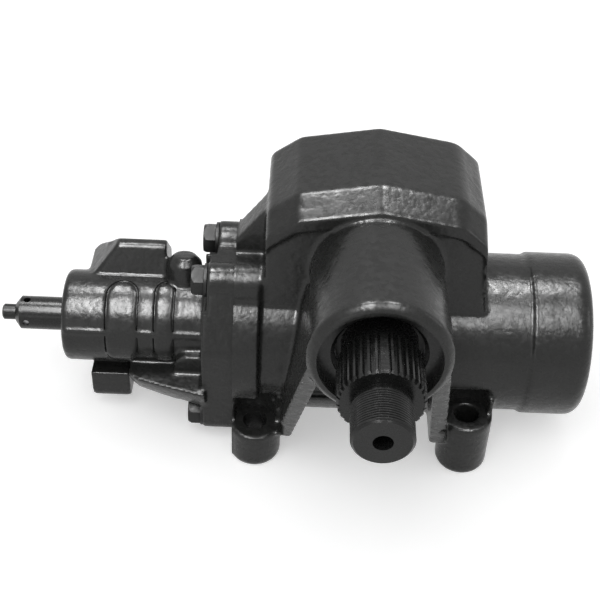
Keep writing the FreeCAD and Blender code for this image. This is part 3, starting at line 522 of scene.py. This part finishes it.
def loose_parts(node):
    """Lowest and highest corner of each separate solid in a node."""
    bm = merged_copy(node)
    todo = set(bm.verts)
    boxes = []
    while todo:
        group = [todo.pop()]
        low = group[0].co.copy()
        high = low.copy()
        while group:
            v = group.pop()
            low = Vector(map(min, low, v.co))
            high = Vector(map(max, high, v.co))
            for edge in v.link_edges:
                other = edge.other_vert(v)
                if other in todo:
                    todo.remove(other)
                    group.append(other)
        boxes.append((low, high))
    bm.free()
    return sorted(boxes, key=lambda box: tuple(box[0]))


def add_rod(bm, start, axis, length, radius, steps=96):
    """Add a closed round rod that goes from start along axis."""
    turn = Z.rotation_difference(axis).to_matrix().to_4x4()
    place = Matrix.Translation(start + axis * (length / 2)) @ turn
    bmesh.ops.create_cone(bm, cap_ends=True, cap_tris=False, segments=steps, radius1=radius,
                          radius2=radius, depth=length, matrix=place)


def rod(start, axis, length, radius, steps=96):
    bm = bmesh.new()
    add_rod(bm, start, axis, length, radius, steps)
    return bm


def slab(**limits):
    """A block wider than any casting, held to the limits given, such as x=(low, high)."""
    spans = {"x": (-SLAB * 3, SLAB * 3), "y": (-SLAB * 3, SLAB * 3), "z": (-SLAB, SLAB * 4)}
    low, high = (Vector(corner) for corner in zip(*{**spans, **limits}.values()))
    bm = bmesh.new()
    place = Matrix.Translation((low + high) / 2) @ Matrix.Diagonal((*(high - low), 1.0))
    bmesh.ops.create_cube(bm, size=1.0, matrix=place)
    return bm


def close_tube(bm, rings):
    """Join rings of points into a closed tube whose faces point outwards."""
    for one, two in zip(rings, rings[1:]):
        for i in range(len(one)):
            j = (i + 1) % len(one)
            bm.faces.new((one[i], one[j], two[j], two[i]))
    bm.faces.new(list(reversed(rings[0])))
    bm.faces.new(rings[-1])
    bmesh.ops.recalc_face_normals(bm, faces=bm.faces)
    return bm


def add_parting_line(bm, start, length, inner_r):
    """The ridge that the mould's two halves leave along the front of the valve cylinder."""
    sizes = bpy.context.scene.gearbox_valve
    share = 0.96   # of the length, so that it stays clear of both ends
    outward = Vector((0, -math.cos(sizes.parting_angle), math.sin(sizes.parting_angle)))
    side = outward.cross(X)
    reach = sizes.radius + sizes.parting_height
    turn = Matrix((X, side, outward)).transposed().to_4x4()
    middle = start + X * (length / 2) + outward * ((inner_r + reach) / 2)
    size = Matrix.Diagonal((length * share, sizes.parting_width, reach - inner_r, 1.0))
    bmesh.ops.create_cube(bm, size=1.0, matrix=Matrix.Translation(middle) @ turn @ size)


def pad_groove(axis_z, span):
    """A round groove up one side of a pad, over its arch and down the other, as a closed cutter."""
    sizes = bpy.context.scene.gearbox_valve
    rises, bends, sides = 14, 16, 10
    facing = Vector((0, -math.cos(sizes.pad_tilt), math.sin(sizes.pad_tilt)))
    up = Vector((0, math.sin(sizes.pad_tilt), math.cos(sizes.pad_tilt)))
    gap = sizes.groove_radius * 0.6
    half = (span[1] - span[0]) / 2 + gap
    middle = (span[0] + span[1]) / 2
    spring = sizes.pad_top + gap - half
    flat = [(-half, sizes.pad_low + (spring - sizes.pad_low) * i / rises) for i in range(rises)]
    flat += [(-half * math.cos(math.pi * i / bends), spring + half * math.sin(math.pi * i / bends))
             for i in range(bends + 1)]
    flat += [(-x, v) for x, v in reversed(flat[:rises])]
    points = []
    for x, v in flat:
        outward = facing * math.sqrt(sizes.radius ** 2 - v ** 2) + up * v
        points.append((Vector((middle + x, 0, axis_z)) + outward, outward.normalized()))
    bm = bmesh.new()
    turns = [2 * math.pi * k / sides for k in range(sides)]
    rings = []
    for i, (point, outward) in enumerate(points):
        along = (points[min(i + 1, len(points) - 1)][0] - points[max(i - 1, 0)][0]).normalized()
        across = along.cross(outward).normalized()
        ring = [(across * math.cos(t) + outward * math.sin(t)) * sizes.groove_radius for t in turns]
        rings.append([bm.verts.new(point + spoke) for spoke in ring])
    return close_tube(bm, rings)


def thread_tool(middle, start, end, radius, sizes):
    """A V-shaped helical cutter about the Y axis through middle, from start to end."""
    half = sizes.pitch * 0.47   # less than half, which leaves a narrow crest
    rim = sizes.depth * 0.35    # how far the tool stands out of the thread
    profile = [(-half, rim), (half, rim), (0.0, -sizes.depth)]
    count = int((end - start) / sizes.pitch * sizes.steps)
    bm = bmesh.new()
    rings = []
    for i in range(count + 1):
        angle = 2 * math.pi * i / sizes.steps
        along = start + (end - start) * i / count
        ring = []
        for shift, rise in profile:
            r = radius + rise
            ring.append(bm.verts.new(
                middle + Vector((r * math.cos(angle), along + shift, r * math.sin(angle)))))
        rings.append(ring)
    return close_tube(bm, rings)


def overshoot(bm, normal, level, depth):
    """Raise every flat face that lies at level along normal, so that it can be machined back."""
    faces = [f for f in bm.faces if f.normal.dot(normal) > 0.999
             and abs(f.calc_center_median().dot(normal) - level) < FLAT]
    if not faces:
        return
    grown = bmesh.ops.extrude_face_region(bm, geom=faces)
    moved = [v for v in grown["geom"] if isinstance(v, bmesh.types.BMVert)]
    bmesh.ops.translate(bm, verts=moved, vec=normal * depth)
    bmesh.ops.delete(bm, geom=faces, context="FACES")


def cast(name, bm, mesh_size, edge_passes, kept_share):
    """A blank as it comes out of the mould: one skin with rounded edges and filled corners."""
    obj = mesh_object(name, bm)
    skin = obj.modifiers.new("skin", "REMESH")
    skin.mode = "VOXEL"
    skin.voxel_size = mesh_size
    rounding = obj.modifiers.new("rounding", "SMOOTH")
    rounding.factor = 0.5
    rounding.iterations = edge_passes
    fewer = obj.modifiers.new("fewer", "DECIMATE")
    fewer.ratio = kept_share
    return settle(obj)


def cast_housing(name, bm):
    sizes = bpy.context.scene.gearbox_casting
    return cast(name, bm, sizes.mesh_size, sizes.edge_passes, sizes.kept_share)


def cut(obj, tool_name, bm, solver="MANIFOLD"):
    """Cut a closed tool out of an object."""
    tool = mesh_object(tool_name, bm)
    difference = obj.modifiers.new("cut", "BOOLEAN")
    difference.operation = "DIFFERENCE"
    difference.solver = solver
    difference.object = tool
    settle(obj)
    if not obj.data.polygons:
        raise RuntimeError(f"{tool_name} left nothing of {obj.name}")
    drop(tool)


def machine(obj, cutters):
    """Cut each closed cutter out of a blank, one after another."""
    for i, bm in enumerate(cutters):
        cut(obj, f"{obj.name}_tool_{i}", bm)


def bolt_tree():
    """Hexagon bolts on points: a washer face, a head with turned-down corners, and a shank."""
    g = Growth("hexagon_bolts")
    points = g.take("Points", "NodeSocketGeometry")
    corner = g.take("Head corner radius")
    height = g.take("Head height")
    washer_r = g.take("Washer radius")
    washer = g.take("Washer height")
    shank_r = g.take("Shank radius")
    length = g.take("Shank length")
    turn = g.take("Turn", "NodeSocketVector")
    paint = g.take("Paint", "NodeSocketMaterial")
    head = g.cylinder(corner, height, washer + height * 0.5, 6)
    cone = g.add("GeometryNodeMeshCone", Vertices=48, Radius_Top=corner * 0.86, Radius_Bottom=corner * 1.9,
                 Depth=height * 2.0)
    crown = g.combine("INTERSECT", head, g.shift(cone, washer - height))
    face = g.cylinder(washer_r, washer, washer * 0.5, 48)
    shank = g.cylinder(shank_r, length, length * -0.5 + washer * 0.5, 32)
    bolt = g.combine("UNION", crown, face, shank)
    many = g.add("GeometryNodeInstanceOnPoints", Points=points, Instance=bolt, Rotation=turn)
    solid = g.add("GeometryNodeRealizeInstances", Geometry=many)
    return g.give(g.add("GeometryNodeSetMaterial", Geometry=solid, Material=paint)), g.keys


def grow_bolts(name, node, seats, turn, washer_r, washer, head, reach):
    """Bolts with their washer faces on the seats, made by the bolt tree and kept as a plain mesh."""
    sizes = bpy.context.scene.gearbox_bolt
    bm = bmesh.new()
    for seat in seats:
        bm.verts.new(seat)
    obj = mesh_object(name, bm)
    tree, keys = bolt_tree()
    growth = obj.modifiers.new("bolts", "NODES")
    growth.node_group = tree
    inputs = {"Head corner radius": sizes.corner_radius, "Head height": head, "Washer radius": washer_r,
              "Washer height": washer, "Shank radius": sizes.shank_radius,
              "Shank length": reach - washer - head, "Turn": turn, "Paint": finish_of("painted_fastener")}
    for key, value in inputs.items():
        growth[keys[key]] = value
    soft = obj.modifiers.new("edges", "BEVEL")
    soft.width = sizes.edge
    soft.segments = 2
    soft.limit_method = "ANGLE"
    soft.angle_limit = math.radians(25)
    settle(obj)
    hand_over(obj, "housing", "painted_fastener", node)


class GEARBOX_OT_finishes(bpy.types.Operator):
    """Mix the paints and metals, and put them on the frame's nodes"""
    bl_idname = "gearbox.finishes"
    bl_label = "Finishes"

    def execute(self, context):
        plain = list(bpy.data.materials)
        for material in plain:
            material.name = f"plain_{material.name}"
        painted_casting()
        painted_steel("painted_fastener", 0.42)
        painted_steel("painted_shaft", 0.25)
        painted_steel("painted_seal_case", 0.3)
        seal_rubber()
        bare_metal("ring_steel", (0.32, 0.32, 0.33), 0.36, 1.4 * MM)
        bare_metal("bearing_steel", (0.58, 0.58, 0.59), 0.2, 1.0 * MM)
        bare_metal("gear_steel", (0.42, 0.42, 0.43), 0.28, 1.2 * MM)
        bare_metal("machined_iron", (0.27, 0.27, 0.28), 0.42, 1.7 * MM)
        ring_polymer()
        slots = {part["node"]: part["material_slot"] for part in frame["record"]["subparts"]}
        for node, obj in frame["nodes"].items():
            obj.data.materials.clear()
            obj.data.materials.append(finish_of(slots[node]))
        for material in plain:
            bpy.data.materials.remove(material)
        return {"FINISHED"}


class GEARBOX_OT_stage(bpy.types.Operator):
    """Set the camera, the floor and the soft studio lamps"""
    bl_idname = "gearbox.stage"
    bl_label = "Stage"

    def execute(self, context):
        scene = context.scene
        setup = scene.gearbox_studio
        data = bpy.data.cameras.new("studio_camera")
        data.lens = setup.lens
        data.sensor_width = 36.0
        data.clip_start, data.clip_end = 0.02, 20.0
        camera = bpy.data.objects.new("studio_camera", data)
        look = Vector((0, math.cos(setup.elevation), -math.sin(setup.elevation)))
        turn = look.to_track_quat("-Z", "Y").to_matrix() @ Matrix.Rotation(setup.roll, 3, "Z")
        camera.matrix_world = Matrix.Translation(setup.camera_place) @ turn.to_4x4()
        scene.collection.objects.link(camera)
        scene.camera = camera

        bm = bmesh.new()
        bmesh.ops.create_grid(bm, x_segments=1, y_segments=1, size=FLOOR_SIZE)
        floor = mesh_object("studio_floor", bm)
        f = Finish("backdrop")
        floor.data.materials.append(f.set(
            Base_Color=(0.86, 0.86, 0.86, 1.0), Roughness=0.9, Emission_Color=WHITE,
            Emission_Strength=f.background_seen() * setup.floor_glow))

        world = bpy.data.worlds.new("studio")
        world.use_nodes = True
        sky = Nodes(world.node_tree)
        background = sky.tree.nodes["Background"]
        sky.put(background.inputs["Strength"], sky.background_seen() * (1.0 - setup.fill) + setup.fill)
        sky.put(background.inputs["Color"], WHITE)
        scene.world = world

        for name, place, aim, (width, length), power, only_gloss in LAMPS:
            light = bpy.data.lights.new(name, "AREA")
            light.shape = "RECTANGLE"
            light.size, light.size_y = width, length
            light.energy = power
            lamp = bpy.data.objects.new(name, light)
            lamp.location = place
            lamp.visible_diffuse = not only_gloss
            lamp.rotation_euler = (Vector(aim) - Vector(place)).to_track_quat("-Z", "Y").to_euler()
            scene.collection.objects.link(lamp)
        scene.view_settings.view_transform = "Standard"
        return {"FINISHED"}


class GEARBOX_OT_gear_housing(bpy.types.Operator):
    """Cast and machine the barrel with its sector chamber, boss, webs and feet"""
    bl_idname = "gearbox.gear_housing"
    bl_label = "Gear housing"

    def execute(self, context):
        sizes = context.scene.gearbox_casting
        skin = sizes.skin
        low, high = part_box("gear_housing")
        joint, cover_face = low.x, high.y
        worm = axis_line("rack_piston")
        sector = axis_line("sector_dust_seal")
        cover = axis_line("side_cover_seal")
        piston_r = radius_of("rack_piston", 1)
        mouth_r = radius_of("side_cover_seal", 0)
        case_r = radius_of("sector_dust_seal", 0)
        hole_r = MOUNTS["foot_bolts"]["dims"]["hole_r_mm"] * MM
        barrel_end = high.x - END_WALL
        mouth_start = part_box("side_cover_seal")[0].y - 2 * skin
        case_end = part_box("sector_dust_seal")[1].y
        seal_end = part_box("sector_oil_seal")[1].y
        bearing_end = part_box("sector_front_bearing")[1].y + skin

        bm = merged_copy("gear_housing")
        overshoot(bm, -X, -joint, skin)
        overshoot(bm, Y, cover_face, skin)
        overshoot(bm, -Z, 0.0, skin)
        add_rod(bm, at(worm, x=joint - skin), X, barrel_end - joint + skin + FILLING, piston_r + FILLING)
        add_rod(bm, at(cover, y=mouth_start), Y, cover_face - mouth_start + skin, mouth_r + FILLING)
        add_rod(bm, at(sector, y=low.y), Y, bearing_end - low.y, case_r + FILLING)
        for place in foot_places():
            add_rod(bm, place - Z * skin, Z, FOOT_FILLING, hole_r + FILLING, 48)
        obj = cast_housing("gear_housing_casting", bm)

        mouth = at(cover, y=mouth_start - FILLING)
        boss = at(sector, y=low.y - skin)
        cutters = [slab(x=(joint - SLAB, joint)),
                   slab(y=(cover_face, cover_face + SLAB)),
                   slab(z=(-SLAB, 0.0)),
                   rod(at(worm, x=joint - skin), X, barrel_end - joint + skin, piston_r + PLAY),
                   rod(mouth, Y, cover_face - mouth_start + skin, mouth_r),
                   rod(boss, Y, case_end - low.y + skin, case_r),
                   rod(boss, Y, seal_end - low.y + skin, radius_of("sector_oil_seal", 0)),
                   rod(boss, Y, bearing_end - low.y + 2 * skin, radius_of("sector_front_bearing", 0))]
        for place in foot_places():
            seat = sizes.left_seat if place.x < 0 else sizes.right_seat
            cutters += [rod(place - Z * skin, Z, FOOT_FILLING + FOOT_DRILL, hole_r, 64),
                        rod(place + Z * seat, Z, sizes.seat_reach, sizes.seat_radius, 64)]
        machine(obj, cutters)
        hand_over(obj, "housing", "painted_casting", "gear_housing", crease=CASTING_CREASE)
        return {"FINISHED"}


class GEARBOX_OT_valve_housing(bpy.types.Operator):
    """Cast and machine the valve housing with its flange, pads and port block"""
    bl_idname = "gearbox.valve_housing"
    bl_label = "Valve housing"

    def execute(self, context):
        valve = context.scene.gearbox_valve
        skin = context.scene.gearbox_casting.skin
        low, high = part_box("valve_housing")
        joint = high.x
        worm = axis_line("worm_lock_ring")
        bore_r = radius_of("sleeve_seal_rings", 1) + PLAY
        thrust_r = radius_of("worm_thrust_bearing", 1)
        seal_r = radius_of("input_seal", 1)
        thrust_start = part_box("worm_thrust_bearing")[0].x
        bearing_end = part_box("input_bearing")[1].x
        seal_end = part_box("input_seal")[1].x
        sleeve_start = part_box("valve_sleeve")[0].x
        ports = [mount_place("pressure_port"), mount_place("return_port")]

        bm = merged_copy("valve_housing")
        overshoot(bm, X, joint, skin)
        add_parting_line(bm, at(worm, x=low.x), joint - low.x, seal_r)
        add_rod(bm, at(worm, x=low.x), X, joint - low.x + skin, bore_r + FILLING)
        add_rod(bm, at(worm, x=thrust_start - FILLING), X, joint - thrust_start + skin, thrust_r + FILLING)
        for place, axis, r, length in ports:
            add_rod(bm, place - axis * (length + FILLING), axis, length + FILLING, r + FILLING, 48)
        obj = cast_housing("valve_housing_casting", bm)

        bearing_r = radius_of("input_bearing", 1)
        cutters = [slab(x=(joint, joint + SLAB)),
                   rod(at(worm, x=bearing_end), X, joint - bearing_end + skin, bore_r),
                   rod(at(worm, x=thrust_start), X, joint - thrust_start + skin, thrust_r),
                   rod(at(worm, x=seal_end - FILLING), X, sleeve_start - seal_end + FILLING, bearing_r),
                   rod(at(worm, x=low.x - skin), X, seal_end - low.x + skin, seal_r)]
        for place, axis, r, length in ports:
            cutters += [rod(place - axis * length, axis, length + PORT_CLEAR, r, 64),
                        rod(place - axis * length * PASSAGE_START, axis, length * PASSAGE_LENGTH,
                            r * PASSAGE_WIDTH, 48)]
        cutters += [pad_groove(worm.z, span) for span in (valve.left_pad, valve.right_pad)]
        machine(obj, cutters)
        hand_over(obj, "housing", "painted_casting", "valve_housing", crease=CASTING_CREASE)
        return {"FINISHED"}


class GEARBOX_OT_side_cover(bpy.types.Operator):
    """Cast the side cover behind the sector shaft"""
    bl_idname = "gearbox.side_cover"
    bl_label = "Side cover"

    def execute(self, context):
        sizes = context.scene.gearbox_casting
        obj = cast("side_cover_casting", merged_copy("side_cover"), sizes.cover_mesh_size,
                   sizes.cover_edge_passes, sizes.cover_kept_share)
        hand_over(obj, "housing", "painted_casting", "side_cover", crease=CASTING_CREASE)
        return {"FINISHED"}


class GEARBOX_OT_bolts(bpy.types.Operator):
    """Make the bolts of the valve housing and of the side cover"""
    bl_idname = "gearbox.bolts"
    bl_label = "Bolts"

    def execute(self, context):
        sizes = context.scene.gearbox_bolt
        washer, head = sizes.washer_height, sizes.head_height
        boxes = loose_parts("valve_housing_bolts")
        seats = [Vector((low.x + washer + head, (low.y + high.y) / 2, (low.z + high.z) / 2))
                 for low, high in boxes]
        reach = min(high.x - low.x for low, high in boxes)
        washer_r = min(high.y - low.y for low, high in boxes) / 2
        grow_bolts("valve_housing_bolt_set", "valve_housing_bolts", seats, (0.0, -math.pi / 2, 0.0),
                   washer_r, washer, head, reach)

        washer, head = sizes.cover_washer_height, sizes.cover_head_height
        boxes = loose_parts("side_cover_bolts")
        seats = [Vector(((low.x + high.x) / 2, high.y - washer - head, (low.z + high.z) / 2))
                 for low, high in boxes]
        reach = min(high.y - low.y for low, high in boxes)
        grow_bolts("side_cover_bolt_set", "side_cover_bolts", seats, (-math.pi / 2, 0.0, 0.0),
                   sizes.cover_washer_radius, washer, head, reach)
        return {"FINISHED"}


class GEARBOX_OT_output_shaft(bpy.types.Operator):
    """Cut the thread on the sector shaft's end"""
    bl_idname = "gearbox.output_shaft"
    bl_label = "Output shaft"

    def execute(self, context):
        run_in, run_out = 1.2 * MM, 0.6 * MM   # past the thread's outer end, and short of its inner end
        place, _, radius, length = mount_place("output_thread")
        half = length / 2
        obj = mesh_object("sector_shaft_threaded", merged_copy("sector_shaft"))
        tool = thread_tool(at(place, y=0.0), place.y - half - run_in, place.y + half - run_out, radius,
                           context.scene.gearbox_thread)
        cut(obj, "thread_tool", tool, "EXACT")
        hand_over(obj, "sector", "painted_shaft", "sector_shaft")
        return {"FINISHED"}


STEPS = (GEARBOX_OT_finishes, GEARBOX_OT_stage, GEARBOX_OT_gear_housing, GEARBOX_OT_valve_housing,
         GEARBOX_OT_side_cover, GEARBOX_OT_bolts, GEARBOX_OT_output_shaft)
GROUPS = {"gearbox_casting": CastingSizes, "gearbox_valve": ValveSizes, "gearbox_bolt": BoltSizes,
          "gearbox_thread": ThreadSizes, "gearbox_paint": PaintLooks, "gearbox_studio": StudioSetup}


class GEARBOX_PT_panel(bpy.types.Panel):
    """Lists the steps that dress the gearbox, and their sizes"""
    bl_idname = "GEARBOX_PT_panel"
    bl_label = "Steering Gearbox"
    bl_space_type = "VIEW_3D"
    bl_region_type = "UI"
    bl_category = "Gearbox"

    def draw(self, context):
        for step in STEPS:
            self.layout.operator(step.bl_idname)
        for name, group in GROUPS.items():
            box = self.layout.box()
            for key in group.__annotations__:
                box.prop(getattr(context.scene, name), key)


def register():
    for cls in (*GROUPS.values(), *STEPS, GEARBOX_PT_panel):
        bpy.utils.register_class(cls)
    for name, group in GROUPS.items():
        setattr(bpy.types.Scene, name, bpy.props.PointerProperty(type=group))


def unregister():
    for name in GROUPS:
        delattr(bpy.types.Scene, name)
    for cls in reversed((*GROUPS.values(), *STEPS, GEARBOX_PT_panel)):
        bpy.utils.unregister_class(cls)


def main():
    register()
    for step in STEPS:
        group, name = step.bl_idname.split(".")
        getattr(getattr(bpy.ops, group), name)()


if __name__ == "__main__":
    main()
